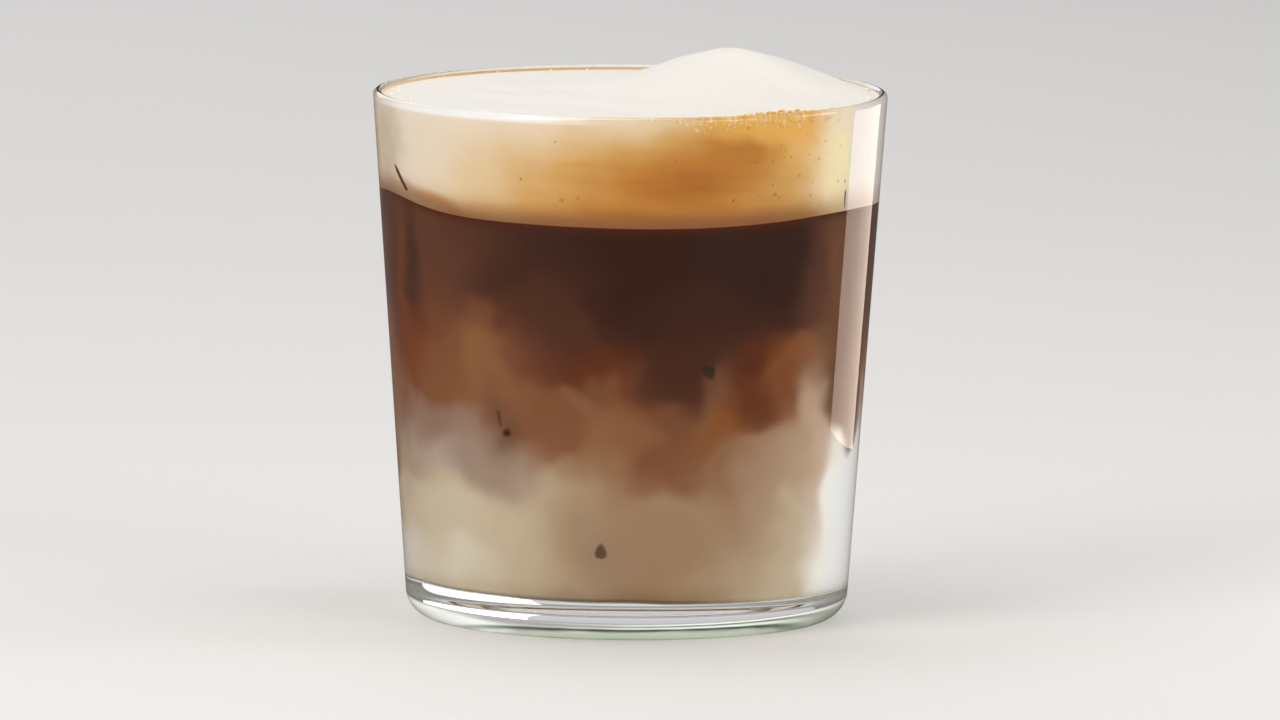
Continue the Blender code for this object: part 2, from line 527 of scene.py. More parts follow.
# Tones by height, as a share of the blend from its bottom (0) to its top (1)
drinkStops = (
    (-1.5, "cream"), (-0.2, "cream"), (0.0, "oat"), (0.22, "latte"), (0.45, "fawn"),
    (0.7, "caramel"), (0.92, "brown"), (1.1, "russet"), (1.4, "espresso"), (2.2, "coffee"),
    (4.0, "coffee"),
)

# What the front shows, laid on in this order: azimuth, height, half width, half height, turn,
# softness, tone, strength
drinkPatches = (
    # coffee, lighter towards both sides as painted light shining through at the edges, with streaks at the
    # far left
    (-60, 63, 15, 17, 0, 0.6, "cocoa", 0.95),
    (-63, 46, 7, 9, 0, 0.7, "sienna", 0.85),
    (-71, 50, 2.6, 15, 0, 0.8, "rust", 0.8),
    (-64, 61, 2.2, 11, 0, 0.8, "coffee", 0.65),
    (-63, 46, 2.2, 7, 0, 0.8, "rust", 0.6),
    (-76, 58, 2.2, 10, 0, 0.8, "espresso", 0.7),
    (-19, 55.5, 5, 6, 0, 0.8, "coffee", 0.6),
    (-28, 58.5, 8, 4.5, 0, 0.8, "coffee", 0.45),
    (-73, 33, 5, 8, 0, 0.8, "mauve", 0.8),
    (54, 58, 4.5, 16, 0, 0.8, "cocoa", 0.8),
    (60, 60, 3, 15, 0, 0.8, "umber", 0.95),
    # milk: tan towards the middle, partly its own tone and partly painted shade; near white at the right
    # edge, a painted highlight
    (6, 16, 21, 15, 0, 0.7, "tan", 1.0),
    (-48, 12, 6, 3, 0, 0.8, "pearl", 0.7),
    (68, 19, 9, 17, 0, 0.5, "highlightIvory", 0.95),
    (79, 19, 7, 18, 0, 0.5, "bright", 1.0),
    (-6, 16, 3.5, 4.5, 0, 0.9, "lilac", 0.5),
    # the marbled zone on the left
    (-50, 45, 8, 8, 0, 0.7, "caramel", 0.7),
    (-39, 47, 4.5, 7.5, 8, 0.6, "toffee", 0.9),
    (-30, 42.5, 6.5, 3, -20, 0.7, "toffee", 0.8),
    (-16, 41.5, 9, 1.8, -4, 0.8, "caramel", 0.85),
    (-20, 50.5, 7, 7.5, -8, 0.7, "russet", 0.85),
    (-9.5, 45.2, 7.5, 4.2, 0, 0.7, "mahogany", 0.85),
    (-19.5, 54.5, 5, 5.5, 0, 0.8, "espresso", 0.85),
    (-12, 50, 4, 3.5, 0, 0.8, "espresso", 0.6),
    (-11.5, 41.2, 3.5, 1.2, 0, 0.9, "fawn", 0.7),
    (2, 42, 3.2, 3, 0, 0.8, "ginger", 0.5),
    (-4.5, 40.0, 2.6, 1.2, 0, 0.9, "ginger", 0.4),
    (-4.5, 43.4, 2.8, 1.8, 0, 0.8, "mahogany", 0.6),
    (-20, 36, 9, 5.2, -4, 0.4, "brown", 0.8),
    (-35.5, 35.5, 3.4, 5.4, 0, 0.8, "umber", 0.85),
    (-27, 32, 4.5, 2.6, 0, 0.9, "brown", 0.5),
    (-4, 34, 4.5, 6, 10, 0.7, "fawn", 0.8),
    (-8, 30, 5, 3, 0, 0.8, "toffee", 0.6),
    (0, 28, 8, 4, 0, 0.8, "latte", 0.7),
    (-57, 34.6, 11, 3.8, 0, 0.6, "mauve", 0.8),
    (-54, 29.5, 10, 3.6, 0, 0.7, "haze", 0.8),
    (-38, 29.5, 9, 4.8, -12, 0.6, "lilac", 0.85),
    (-35.5, 33.6, 3.6, 4.0, 0, 0.8, "umber", 0.7),
    (-26, 31.5, 4, 2.2, 0, 0.9, "fawn", 0.6),
    (0.5, 35, 3.5, 3, 0, 0.8, "caramel", 0.5),
    (-74, 41, 4.5, 8, 0, 0.8, "sienna", 0.45),
    # the dark tongue in the middle, its lobe and the light drop on it
    (10, 44, 6.5, 5.5, 0, 0.6, "espresso", 0.85),
    (11, 32, 7, 6.5, 15, 0.5, "brown", 0.95),
    (21.5, 42, 2.6, 4.4, -12, 0.6, "umber", 0.9),
    # the right, and touches in the middle; the rose near the right edge is partly its own tone and partly
    # painted light
    (34, 44.5, 5.5, 5.8, -25, 0.5, "mahogany", 0.9),
    (46, 46.5, 5, 2.4, 12, 0.7, "ginger", 0.85),
    (48, 31, 8.5, 6, 15, 0.7, "beige", 0.85),
    (57, 39, 5, 6, 25, 0.7, "beige", 0.8),
    (43, 41.5, 5, 4, 20, 0.7, "caramel", 0.8),
    (28, 28.5, 6, 9, 12, 0.7, "latte", 0.85),
    (29, 31.5, 5.5, 5, 0, 0.8, "fawn", 0.65),
    (27, 38.5, 3, 2, 0, 0.8, "mahogany", 0.4),
    (43, 43.5, 4.5, 5.2, 0, 0.8, "amber", 0.8),
    (54, 25, 3, 5, 0, 0.8, "biscuit", 0.5),
    (54, 47, 3, 4, 0, 0.8, "fawn", 0.5),
    (37, 27.5, 4.5, 9, 0, 0.8, "biscuit", 0.8),
    (39, 41, 7, 3.4, 0, 0.8, "brown", 0.5),
    (22, 29, 6, 5, 0, 0.8, "fawn", 0.35),
    (56, 36, 4, 6.5, 0, 0.8, "roseGlow", 0.35),
    (25, 36.5, 6, 2.4, 30, 0.8, "amber", 0.85),
    (38, 39.5, 4, 1.8, 35, 0.9, "ginger", 0.25),
    (33, 40.2, 4.4, 3.2, 0, 0.7, "mahogany", 0.75),
    (43.5, 43.5, 4, 5, 0, 0.8, "sienna", 0.4),
    (3, 34.5, 3, 2, 0, 0.8, "fawn", 0.5),
    (10.5, 37.5, 3, 2.5, 0, 0.8, "umber", 0.4),
    (56, 25, 3, 9, 0, 0.8, "roseGlow", 0.6),
    (65, 37, 4, 6, 0, 0.8, "roseGlow", 0.45),
    # the drink behind the strip that is mirrored at the right edge
    (71, 46, 7.5, 12.5, 0, 0.3, "cocoa", 0.9),
    (70, 66, 6, 8, 0, 0.8, "umber", 0.5),
    (71, 38.4, 7.5, 7, 0, 0.3, "umber", 0.9),
)

# Painted light: where the thick base mirrors it, the back of the milk is near white low down
backGlowPatches = (
    (180, 10, 62, 9, 0, 0.5, "bright", 0.9),
)

# Painted reflection on the underside of the milk, which the thick clear base shows and mirrors: bright
# window light with darker bands. Place on the floor in millimetres, half widths, softness, tone, strength
undersideReflectionPatches = (
    (-27, 0, 11, 40, 0.35, "bright", 1.0),
    (-8, 4, 9, 12, 0.35, "lilacGrey", 0.9),
    (10, 8, 14, 5, 0.6, "bright", 0.85),
    (12, 0, 12, 3, 0.6, "pewter", 0.8),
    (8, -6, 15, 3, 0.7, "bright", 0.8),
    (4, -10.5, 28, 2.8, 0.5, "pine", 1.0),
    (4, -19, 30, 5, 0.6, "greenGrey", 0.9),
    (32, 0, 9, 22, 0.6, "greenGrey", 0.9),
)


def randomPatches(seed, count, fromAzimuth, toAzimuth):
    # The same sort of billows on the sides and at the back, where the photograph doesn't reach
    random = np.random.default_rng(seed)
    made = []
    for _ in range(count):
        place = random.uniform(fromAzimuth, toAzimuth)
        level = random.uniform(24, 56)
        tones = ("brown", "russet", "espresso", "toffee")
        if level < 38:
            tones = ("caramel", "brown", "latte", "lilac")
        made.append((
            place, level, random.uniform(4, 11), random.uniform(2.2, 5.5),
            random.uniform(-35, 35), random.uniform(0.45, 0.8),
            tones[random.integers(len(tones))], random.uniform(0.5, 0.85),
        ))
    return tuple(made)


def drinkColours(points):
    # Tone by height between the meeting surfaces, on points shifted by waves, then the patches
    x, y, z = warped(points, drink["warps"]).T
    low = meetingHeight("milk", x, y)
    high = meetingHeight("blend", x, y)
    share = (z - low) / np.maximum(high - low, drink["leastBlend"])
    colours = ramp(share, [(place, drinkTones[tone]) for place, tone in drinkStops])
    patches = randomPatches(*drink["billows"]) + backGlowPatches + drinkPatches
    colours = brush(colours, azimuthOf(x, y), z, patches, drinkTones, drink["wallRadius"])
    # a thin red-brown line where the coffee meets the foam
    thickness, strength, shade = drink["brimLine"]
    under = meetingHeight("coffee", points[:, 0], points[:, 1]) - points[:, 2]
    line = np.exp(-(under / thickness) ** 2) * strength
    colours = towards(colours, drinkTones["rust"] * shade, line)
    # painted reflection underneath, silvery, and painted shade, a dark line where that meets the wall
    over = points[:, 2] - floorShift(points) - tumbler["floorHeight"]
    atBack = smoothStep(0, 15, points[:, 1])
    limit = drink["underReach"][0] + drink["underReach"][1] * atBack
    colours = towards(colours, undersideReflection(points), 1 - smoothStep(0.6 * limit, 1.6 * limit, over))
    height, thickness, strength = drink["footShadeLine"]
    line = np.exp(-(((over - height) / thickness) ** 2)) * (1 - atBack)
    line *= strength * (1 - smoothStep(-10, 40, points[:, 0]))
    return towards(colours, drinkTones["umber"] * 0.5, line).clip(0, 0.97)


def undersideReflection(points):
    # Painted reflection: silver with soft level streaks, then ovals of other tones
    x, y = points[:, 0], points[:, 1]
    streaks = waveNoise(points * drink["floorStretch"], drink["floorWave"], 61)
    colours = drinkTones["silver"] * (1 + drink["floorContrast"] * streaks)[:, None]
    for across, deep, width, depth, softness, tone, strength in undersideReflectionPatches:
        away = np.hypot((x - across) / width, (y - deep) / depth)
        colours = towards(colours, drinkTones[tone], strength * softCover(away, softness))
    return colours.clip(0, 1)


def layerRings(low, high, topRings, wallRows, bottomRings, segments, reach):
    # A unit disc's top, wall and bottom; each point's height lies between the two surfaces, and
    # its distance from the axis is a share of the cavity's radius at that height
    radial = np.concatenate((
        np.linspace(0, 1, topRings + 1)[1:], np.ones(wallRows - 1),
        np.linspace(1, 0, bottomRings + 1)[:-1],
    ))
    rise = np.concatenate((
        np.ones(topRings), np.linspace(1, 0, wallRows + 1)[1:-1], np.zeros(bottomRings),
    ))
    rings = turnedRings(radial, rise, segments)
    flatX, flatY, rise = rings[..., 0].copy(), rings[..., 1].copy(), rings[..., 2].copy()
    radius = np.full_like(flatX, float(innerRadius(tumbler["height"])))
    for _ in range(8):
        x, y = flatX * radius, flatY * radius
        bottom, top = low(x, y), high(x, y)
        z = bottom + (top - bottom) * rise
        radius = innerRadius(z) + reach
    return np.stack((x, y, z), axis=-1)


def floorSurface(x, y):
    # The inside floor before it is made uneven, with the drink a hair into it
    return np.full_like(x, tumbler["floorHeight"] - drink["intoWall"])


def makeLayer(name, node, low, high, wallRows):
    flat = drink["rings"]
    rings = layerRings(low, high, flat, wallRows, flat, drink["segments"], drink["intoWall"])
    rings[..., 2] += floorShift(rings)
    middle = np.zeros(1)
    poles = np.array([(0, 0, float(surface(middle, middle)[0])) for surface in (high, low)])
    poles[:, 2] += floorShift(poles)
    piece = closedSurface(name, rings, *poles)
    piece.data.set_sharp_from_angle(angle=math.radians(layerCrease))
    setColours(piece, "marbling", drinkColours(pointsOf(piece)))
    piece.data.materials.append(paintedMaterial(name + "Liquid", "marbling", *drink["finish"])[0])
    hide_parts(node)
    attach(piece, "root")


def topOf(name):
    return lambda x, y: meetingHeight(name, x, y)


makeLayer("milkLayer", "milk", floorSurface, topOf("milk"), 60)
makeLayer("blendLayer", "blend", topOf("milk"), topOf("blend"), 60)
makeLayer("coffeeLayer", "coffee", topOf("blend"), topOf("coffee"), 70)
print("milk, blend and coffee made")


# Ice, wholly sunk: only the corners and edges that press on the glass show
ice = {
    "squareness": 12,
    "rings": 90,
    "segments": 112,
    "crowding": 2.4,  # rings crowd towards the corner that touches the glass
    "melt": ((8.0, 0.16, 71), (3.0, 0.04, 72)),  # wavelength, height, seed
    "pastDrink": 0.04,  # how much further into the wall than the drink
    "fullShade": 0.30,  # pressed this deep, it is as dark as it gets
    "finish": (700.0, 0.5, 0.2, 0.05),  # as the drink's
    "edgeShade": 0.82,  # share of the drink's tone where the ice just touches the glass
    "cubes": (
        # name, shade against the glass, half size, azimuth and height of the touching point, how far
        # it presses, the cube's own direction that points at the glass, roll, and tilt of that
        # direction from level
        ("iceLow", "604533", 8.2, -6.8, 14.9, 0.62, (1.0, 1.0, 0.5), 180, -4),
        ("iceLeft", "2c150c", 8.4, -32.0, 34.6, 0.36, (1.0, 1.0, 0.8), 40, -6),
        ("iceSliver", "553d29", 1.4, -34.2, 37.3, 0.36, (1.0, 1.0, 0.0), 10, 0),
        ("iceMiddle", "33251a", 9.0, 20.2, 45.6, 0.52, (1.0, 0.85, 0.8), 20, 4),
        ("iceTopLeft", "5a4c34", 3.8, -66.3, 75.2, 0.24, (1.0, 1.0, 0.0), 48, 0),
        ("iceTopRight", "8a6a52", 2.4, 60.5, 73.4, 0.14, (1.0, 1.0, 0.0), 2, 0),
    ),
}


def iceShape(halfSize, toGlass):
    # Directions on a sphere whose pole is the touching corner, and the cube's reach in each: half
    # the size over the n-th root of |x|^n + |y|^n + |z|^n, with slow waves where it has melted
    pole = np.array(toGlass) / np.linalg.norm(toGlass)
    side = np.cross(pole, (0, 0, 1.0))
    side /= np.linalg.norm(side)
    up = np.cross(side, pole)
    lean = math.pi * np.linspace(0, 1, ice["rings"] + 2)[1:-1] ** ice["crowding"]
    around = np.linspace(0, turn, ice["segments"], endpoint=False)
    along = np.cos(lean)[:, None, None] * np.ones((1, ice["segments"], 1))
    across = np.sin(lean)[:, None] * np.cos(around)
    above = np.sin(lean)[:, None] * np.sin(around)
    local = np.concatenate((along, across[..., None], above[..., None]), axis=-1)
    local = np.concatenate((local.reshape(-1, 3), [(1, 0, 0), (-1, 0, 0)]))
    cube = local @ np.array((pole, side, up))
    power = ice["squareness"]
    reach = halfSize / (np.abs(cube) ** power).sum(axis=1) ** (1 / power)
    points = local * reach[:, None]
    for wavelength, height, seed in ice["melt"]:
        reach = reach + height * waveNoise(points, wavelength, seed)
    return local * reach[:, None]


def placeCube(halfSize, azimuth, height, press, toGlass, roll, tilt):
    # The cube's points, pressed into the wall and flattened there, and how far each was past it
    angle, slope, spin = math.radians(azimuth), math.radians(tilt), math.radians(roll)
    level = np.array((math.sin(angle), -math.cos(angle), 0.0))
    sideways = np.array((math.cos(angle), math.sin(angle), 0.0))
    upward = np.array((0, 0, 1.0))
    outward = level * math.cos(slope) + upward * math.sin(slope)
    lifted = upward * math.cos(slope) - level * math.sin(slope)
    axes = np.array((
        outward, sideways * math.cos(spin) + lifted * math.sin(spin),
        lifted * math.cos(spin) - sideways * math.sin(spin),
    ))
    points = iceShape(halfSize, toGlass) @ axes
    lean = float(innerRadius(height + 1) - innerRadius(height))
    towardsWall = (level - upward * lean) / math.hypot(1, lean)
    touch = points[np.argmax(points @ towardsWall)]
    wall = level * float(innerRadius(height)) + upward * height
    points += wall + towardsWall * press - touch
    limit = innerRadius(points[:, 2]) + drink["intoWall"]
    distance = np.hypot(points[:, 0], points[:, 1])
    past = distance - limit
    flat = past > ice["pastDrink"]
    points[:, :2] *= np.where(flat, (limit + ice["pastDrink"]) / distance, 1)[:, None]
    return points, past


def makeIce(name, wallShade, *place):
    points, past = placeCube(*place)
    rings = points[:-2].reshape(ice["rings"], ice["segments"], 3)
    piece = closedSurface(name, rings, points[-2], points[-1])
    shade = smoothStep(0, ice["fullShade"], past)[:, None]
    around = drinkColours(points) * ice["edgeShade"]
    setColours(piece, "clearness", around + (linear(wallShade) - around) * shade)
    piece.data.materials.append(iceFinish)
    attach(piece, "root")


# Clear ice is dark where it lies against the glass, since the eye looks into it there
iceFinish = paintedMaterial("clearIce", "clearness", *ice["finish"])[0]
for cube in ice["cubes"]:
    makeIce(*cube)
print("ice made")


# Foam

foam = {
    "segments": 384,
    "topRings": 130,
    "wallRows": 44,
    "bottomRings": 10,
    "belowRim": 1.3,
    "climb": 0.5,
    "peakPlace": (17.2, 13.5),
    "peakHeight": 7.7,
    "peakSpread": (18.5, 15.5),
    "peakTurn": 18,
    "peakSharpness": 1.45,
    "rippleHeight": 0.28,
    "rippleLength": 21.0,
    "reliefs": ((7.0, 0.05, 41), (2.6, 0.016, 42), (1.1, 0.006, 43)),  # wavelength, height, seed
    "warps": ((11.0, 0.8, 51), (4.0, 0.3, 52)),
    "light": np.array((0.89, 0.87, 0.80)),  # share of the paint's light that reaches the eye
    "finish": (900.0, 0.06, 0.6, 0.2, 4.0),  # as the drink's, then the mottle's detail
    "inward": {  # light goes a little way into foam
        "Subsurface Weight": 0.12, "Subsurface Radius": (1.0, 0.9, 0.8), "Subsurface Scale": 0.0015,
    },
    "bumpHeight": 0.00004,  # metres, of its finest bubbles
    "streakShape": (0.12, 0.12, 1.0),
    "streakLength": 1.6,
    "streakAmount": 0.018,
    "brimAt": 37,  # where gold foam reaches in over the brim
    "brimWidth": 20,
    "seep": 2.4,  # how far coffee seeps up into the foam's lower edge
    "seepAmount": 0.85,
    "seepFade": (38, 68, 0.6),  # it fades by this share between these azimuths
    "brimEdge": (0.15, 1.6),  # where the side's tones turn to white, in from the wall
    "brimReach": (1.2, 4.5),  # how much further in that is at the gold foam
    "whiteAt": (-46, 34),  # azimuth and spread of the white band
    "whiteHighlightBand": (0.2, 0.9),  # white this far below the brim, at the front left: the foam's white and a painted highlight of the lip
}

# As seen through the glass, like the drink's
foamTones = {name: linear(code) / foam["light"] for name, code in {
    "shadow": "c4ad93",
    "cream": "e7d6bd",
    "butter": "dcbd8e",
    "honey": "cb9952",
    "amber": "b8762a",
    "burnt": "a35f1b",
    "gold": "e2a84e",
    "pale": "f4e0ac",
    "chalk": "f6f1e8",
    "mist": "ddd5c9",
    "brim": "7d4e2e",
}.items()}
foamTones["snow"] = linear("e9e4dc")
foamEdge = tumbler["height"] - foam["belowRim"] + foam["climb"]

# How coffee has stained the foam's side: azimuth, height, half width in degrees, half height, amount
foamStains = (
    (14, 77.0, 27, 6.0, 0.93), (26, 83.5, 15, 6.0, 0.66), (8, 70.5, 52, 3.8, 0.85),
    (2, 83.0, 18, 4.5, 0.3), (30, 83, 12, 5, 0.3),
    (-20, 77.5, 28, 9.0, 0.4), (44, 76.0, 14, 5.0, 0.2),
    (118, 77.0, 24, 5.0, 0.5), (168, 80.0, 30, 7.0, 0.6), (216, 75.0, 22, 5.0, 0.75),
    (262, 79.0, 18, 6.0, 0.35),
)
foamStops = ((0.0, "cream"), (0.3, "butter"), (0.55, "honey"), (0.8, "amber"), (1.0, "burnt"))

foamPatches = (
    (44, 83.5, 6, 4.5, -20, 0.8, "gold", 0.6),
    (38, 86.5, 14, 3.0, -4, 0.6, "gold", 0.9),
    # painted light: a pale glow on the right side
    (57, 80.5, 5, 10, 0, 0.8, "pale", 0.85),
    (56, 86, 5, 2, 0, 0.8, "cream", 0.5),
    (85, 80, 18, 40, 0, 0.1, "mist", 1.0),
    (74, 71, 11, 3.6, 0, 0.7, "shadow", 0.4),
    (-72, 79, 4, 10, 0, 0.9, "shadow", 0.7),
    (-53, 72.4, 11, 1.2, -10, 0.8, "amber", 0.75),
)


def foamHeight(x, y):
    # Nearly level, climbing the wall a little, with long ripples and one soft peak
    level = tumbler["height"] - foam["belowRim"]
    share = np.hypot(x, y) / innerRadius(level)
    climb = foam["climb"] * share**8
    length = foam["rippleLength"]
    ripple = foam["rippleHeight"] * np.sin((x + 0.4 * y) / length * turn)
    ripple = ripple * np.cos((y - 0.3 * x) / (1.3 * length) * turn) * (1 - share**4)
    angle = math.radians(foam["peakTurn"])
    alongX, alongY = x - foam["peakPlace"][0], y - foam["peakPlace"][1]
    u = (alongX * math.cos(angle) + alongY * math.sin(angle)) / foam["peakSpread"][0]
    v = (alongY * math.cos(angle) - alongX * math.sin(angle)) / foam["peakSpread"][1]
    peak = foam["peakHeight"] * np.exp(-(np.sqrt(u**2 + v**2 + 0.02) ** foam["peakSharpness"]))
    return level + climb + ripple + peak * (1 - share**10)


def foamColours(points):
    # White on top; on the side cream, stained from butter to burnt amber: the stain is one less
    # the product of what each bell leaves clean, with fine level streaks
    x, y, z = warped(points, foam["warps"], 0.35).T
    azimuth = azimuthOf(x, y)
    clean = np.ones(len(points))
    for place, level, width, rise, amount in foamStains:
        away = turnedFrom(azimuth, place) / width
        clean *= 1 - amount * np.exp(-(away**2) - ((z - level) / rise) ** 2)
    streaks = waveNoise(points * foam["streakShape"], foam["streakLength"], 55)
    stain = (1 - clean) * (1 + foam["streakAmount"] * streaks)
    colours = ramp(stain, [(place, foamTones[tone]) for place, tone in foamStops])
    colours = brush(colours, azimuth, z, foamPatches, foamTones, tumbler["rimRadius"])
    over = (points[:, 2] - meetingHeight("coffee", points[:, 0], points[:, 1])) / foam["seep"]
    start, end, fade = foam["seepFade"]
    seep = foam["seepAmount"] * np.exp(-(over**2)) * (1 - fade * smoothStep(start, end, azimuth))
    colours = towards(colours, foamTones["brim"], seep)
    # white under the brim at the front left: the foam's white and a painted highlight of the lip
    whiteAt, spread = foam["whiteAt"]
    white = 1 - smoothStep(*foam["whiteHighlightBand"], foamEdge - points[:, 2])
    colours = towards(colours, foamTones["chalk"], white * np.exp(-(((azimuth - whiteAt) / spread) ** 4)))
    inward = innerRadius(points[:, 2]) - np.hypot(points[:, 0], points[:, 1])
    golden = np.exp(-(((azimuth - foam["brimAt"]) / foam["brimWidth"]) ** 2))
    near, far = (edge + reach * golden for edge, reach in zip(foam["brimEdge"], foam["brimReach"]))
    return towards(colours, foamTones["snow"], smoothStep(near, far, inward))


def makeFoam():
    rings = layerRings(topOf("coffee"), foamHeight, foam["topRings"], foam["wallRows"],
                       foam["bottomRings"], foam["segments"], drink["intoWall"])
    top = np.arange(len(rings)) < foam["topRings"]
    relief = sum(height * waveNoise(rings * (1, 1, 0), wavelength, seed)
                 for wavelength, height, seed in foam["reliefs"])
    edge = np.hypot(rings[..., 0], rings[..., 1]) / innerRadius(rings[..., 2])
    rings[..., 2] += top[:, None] * relief * (1 - smoothStep(0.9, 1.0, edge))
    middle = np.zeros(1)
    heights = (foamHeight(middle, middle), meetingHeight("coffee", middle, middle))
    poles = [(0, 0, float(height[0])) for height in heights]
    piece = closedSurface("foamHead", rings, *poles)
    piece.data.set_sharp_from_angle(angle=math.radians(layerCrease))
    setColours(piece, "crema", foamColours(pointsOf(piece)))
    piece.data.materials.append(foamMaterial())
    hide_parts("foam")
    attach(piece, "root")


def foamMaterial():
    made, tree, shader, varied = paintedMaterial("milkFoam", "crema", *foam["finish"])
    setInputs(shader, foam["inward"])
    bump = addNode(tree, "ShaderNodeBump")
    setInputs(bump, {"Strength": 1.0, "Distance": foam["bumpHeight"]})
    join(tree, varied, "Height", bump, "Height")
    join(tree, bump, "Normal", shader, "Normal")
    return made


makeFoam()
print("foam made")


# Bubbles in the foam, and the film of crema above it, with a painted highlight at the front left
bubbles = {
    "rows": 3,
    "sides": 7,
    "finish": (1500.0, 0.1, 0.4, 0.15),  # as the drink's
    "clearOfCoffee": 1.2,
    "specks": (  # those that stand out on the side: azimuth, height, width
        (28, 86.4, 0.34), (51, 83.2, 0.30), (49, 80.4, 0.26), (43, 77.9, 0.32), (57, 76.2, 0.36),
        (60, 76.0, 0.34), (36, 75.0, 0.42), (47, 74.3, 0.32), (25, 74.3, 0.26), (-16, 74.4, 0.40),
        (-12, 74.8, 0.34), (-26, 77.6, 0.28),
    ),
    "speckShade": (0.62, 0.85),  # share of the foam's own tone
    "scattered": 46,
    "scatteredAt": (44, 16),  # azimuth and spread of the greater share
    "scatteredShare": 0.6,
    "scatteredHeights": (72.5, 86.0),
    "scatteredWidths": (0.10, 0.20),
    "froth": 420,
    "frothSpread": 12,
    "frothShare": 0.85,  # at the heap
    "frothSizes": (0.12, 0.40),
    "clinging": 150,  # bubbles against the glass, just under the lip
    "clingingSizes": (0.18, 0.6),
    "clingingDrop": (0.6, 0.7),  # least distance under the rim, and spread
    "clingingOwnTone": 0.3,  # the rest is the tone of the foam behind
    "heapAt": 37,  # where the froth stands against the glass
    "heapWidth": 15,
    "heapHeight": 1.25,
    "heapReach": 2.2,
    "frothTones": ("faedca", "f3d898", "ebc070", "e2ac56", "f0cf8c"),
    "paleTone": "f6ecd8",
    "paleAway": (20, 45),  # degrees from the heap over which the froth turns pale
}


def joinedBeads(name, centres, sizes, tones):
    # One small ball for each centre, a grid of rows and sides between two poles; sizes are its
    # half widths along the wall, away from the axis and upwards
    rows, sides = bubbles["rows"], bubbles["sides"]
    rise = np.linspace(math.pi / 2, -math.pi / 2, rows + 2)[1:-1]
    ball = turnedRings(np.cos(rise), np.sin(rise), sides).reshape(-1, 3)
    ball = np.vstack((ball, (0, 0, 1), (0, 0, -1)))
    distance = np.hypot(centres[:, 0], centres[:, 1])[:, None]
    outward = np.column_stack((centres[:, :2] / distance, np.zeros(len(centres))))
    along = np.column_stack((outward[:, 1], -outward[:, 0], np.zeros(len(centres))))
    points = centres[:, None] + along[:, None] * (ball[:, :1] * sizes[:, None, :1])
    points += outward[:, None] * (ball[:, 1:2] * sizes[:, None, 1:2])
    points[..., 2] += ball[:, 2] * sizes[:, None, 2]
    step = (np.arange(len(centres)) * len(ball))[:, None, None]
    groups = [(group[None] + step).reshape(-1, group.shape[1]) for group in closedFaces(rows, sides)]
    piece = meshFrom(name, points.reshape(-1, 3) * mm, groups)
    setColours(piece, "crema", np.repeat(tones, len(ball), axis=0))
    piece.data.materials.append(bubbleFinish)
    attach(piece, "root")


def onWall(azimuth, height, inset):
    angle = np.radians(azimuth)
    radius = innerRadius(height) - inset
    return np.column_stack((radius * np.sin(angle), -radius * np.cos(angle), height))


def aroundRim(random, count, share, place, spread):
    # Azimuths, this share of them near a place and the rest anywhere
    near = random.random(count) < share
    return np.where(near, random.normal(place, spread, count), random.uniform(-180, 180, count))


def makeWallBubbles():
    # Open bubbles against the glass, a few listed and the rest drawn, most at the right
    random = np.random.default_rng(81)
    count = bubbles["scattered"]
    azimuth = aroundRim(random, count, bubbles["scatteredShare"], *bubbles["scatteredAt"])
    lowest, highest = bubbles["scatteredHeights"]
    height = lowest + (highest - lowest) * random.random(count)
    width = random.uniform(*bubbles["scatteredWidths"], count)
    specks = np.array(bubbles["specks"])
    azimuth, height = np.append(azimuth, specks[:, 0]), np.append(height, specks[:, 1])
    width = np.append(width, specks[:, 2])
    centres = onWall(azimuth, height, -drink["intoWall"])
    clear = meetingHeight("coffee", centres[:, 0], centres[:, 1]) + bubbles["clearOfCoffee"] < height
    sizes = np.column_stack((width, np.full(len(width), 0.05), width * random.uniform(0.8, 1.3, len(width))))
    tones = foamColours(centres) * random.uniform(*bubbles["speckShade"], (len(width), 1))
    joinedBeads("wallBubbles", centres[clear], sizes[clear], tones[clear])


def makeFroth():
    # Fine bubbles along the foam's brim, thickest at the front right
    random = np.random.default_rng(82)
    count = bubbles["froth"]
    spread = bubbles["frothSpread"]
    azimuth = aroundRim(random, count, bubbles["frothShare"], bubbles["heapAt"], spread)
    radius = random.uniform(*bubbles["frothSizes"], count)
    inset = radius * 0.8 + np.abs(random.normal(0, bubbles["heapReach"] * 0.6, count))
    heap = bubbles["heapHeight"] * np.exp(-(((azimuth - bubbles["heapAt"]) / bubbles["heapWidth"]) ** 2)
                                          - (inset / bubbles["heapReach"]) ** 2)
    flat = onWall(azimuth, np.full(count, foamEdge), inset)
    base = foamHeight(flat[:, 0], flat[:, 1])
    centres = np.column_stack((flat[:, :2], base + radius * 0.2 + heap * random.random(count)))
    sizes = np.column_stack((radius, radius, radius * 0.85))
    count = bubbles["clinging"]
    azimuth = random.normal(bubbles["heapAt"] - 2, spread, count)
    least, drop = bubbles["clingingDrop"]
    height = tumbler["height"] - least - np.abs(random.normal(0, drop, count))
    radius = random.uniform(*bubbles["clingingSizes"], count)
    centres = np.vstack((centres, onWall(azimuth, height, np.full(count, -drink["intoWall"]))))
    sizes = np.vstack((sizes, np.column_stack((radius, np.full(count, 0.06), radius * 0.8))))
    tones = np.array([linear(code) for code in bubbles["frothTones"]])
    tones = tones[random.integers(len(tones), size=len(centres))]
    own = bubbles["clingingOwnTone"]
    tones[-count:] = own * tones[-count:] + (1 - own) * foamColours(centres[-count:])
    away = np.abs(azimuthOf(centres[:, 0], centres[:, 1]) - bubbles["heapAt"])
    tones = towards(tones, linear(bubbles["paleTone"]), smoothStep(*bubbles["paleAway"], away))
    joinedBeads("brimFroth", centres, sizes, tones)


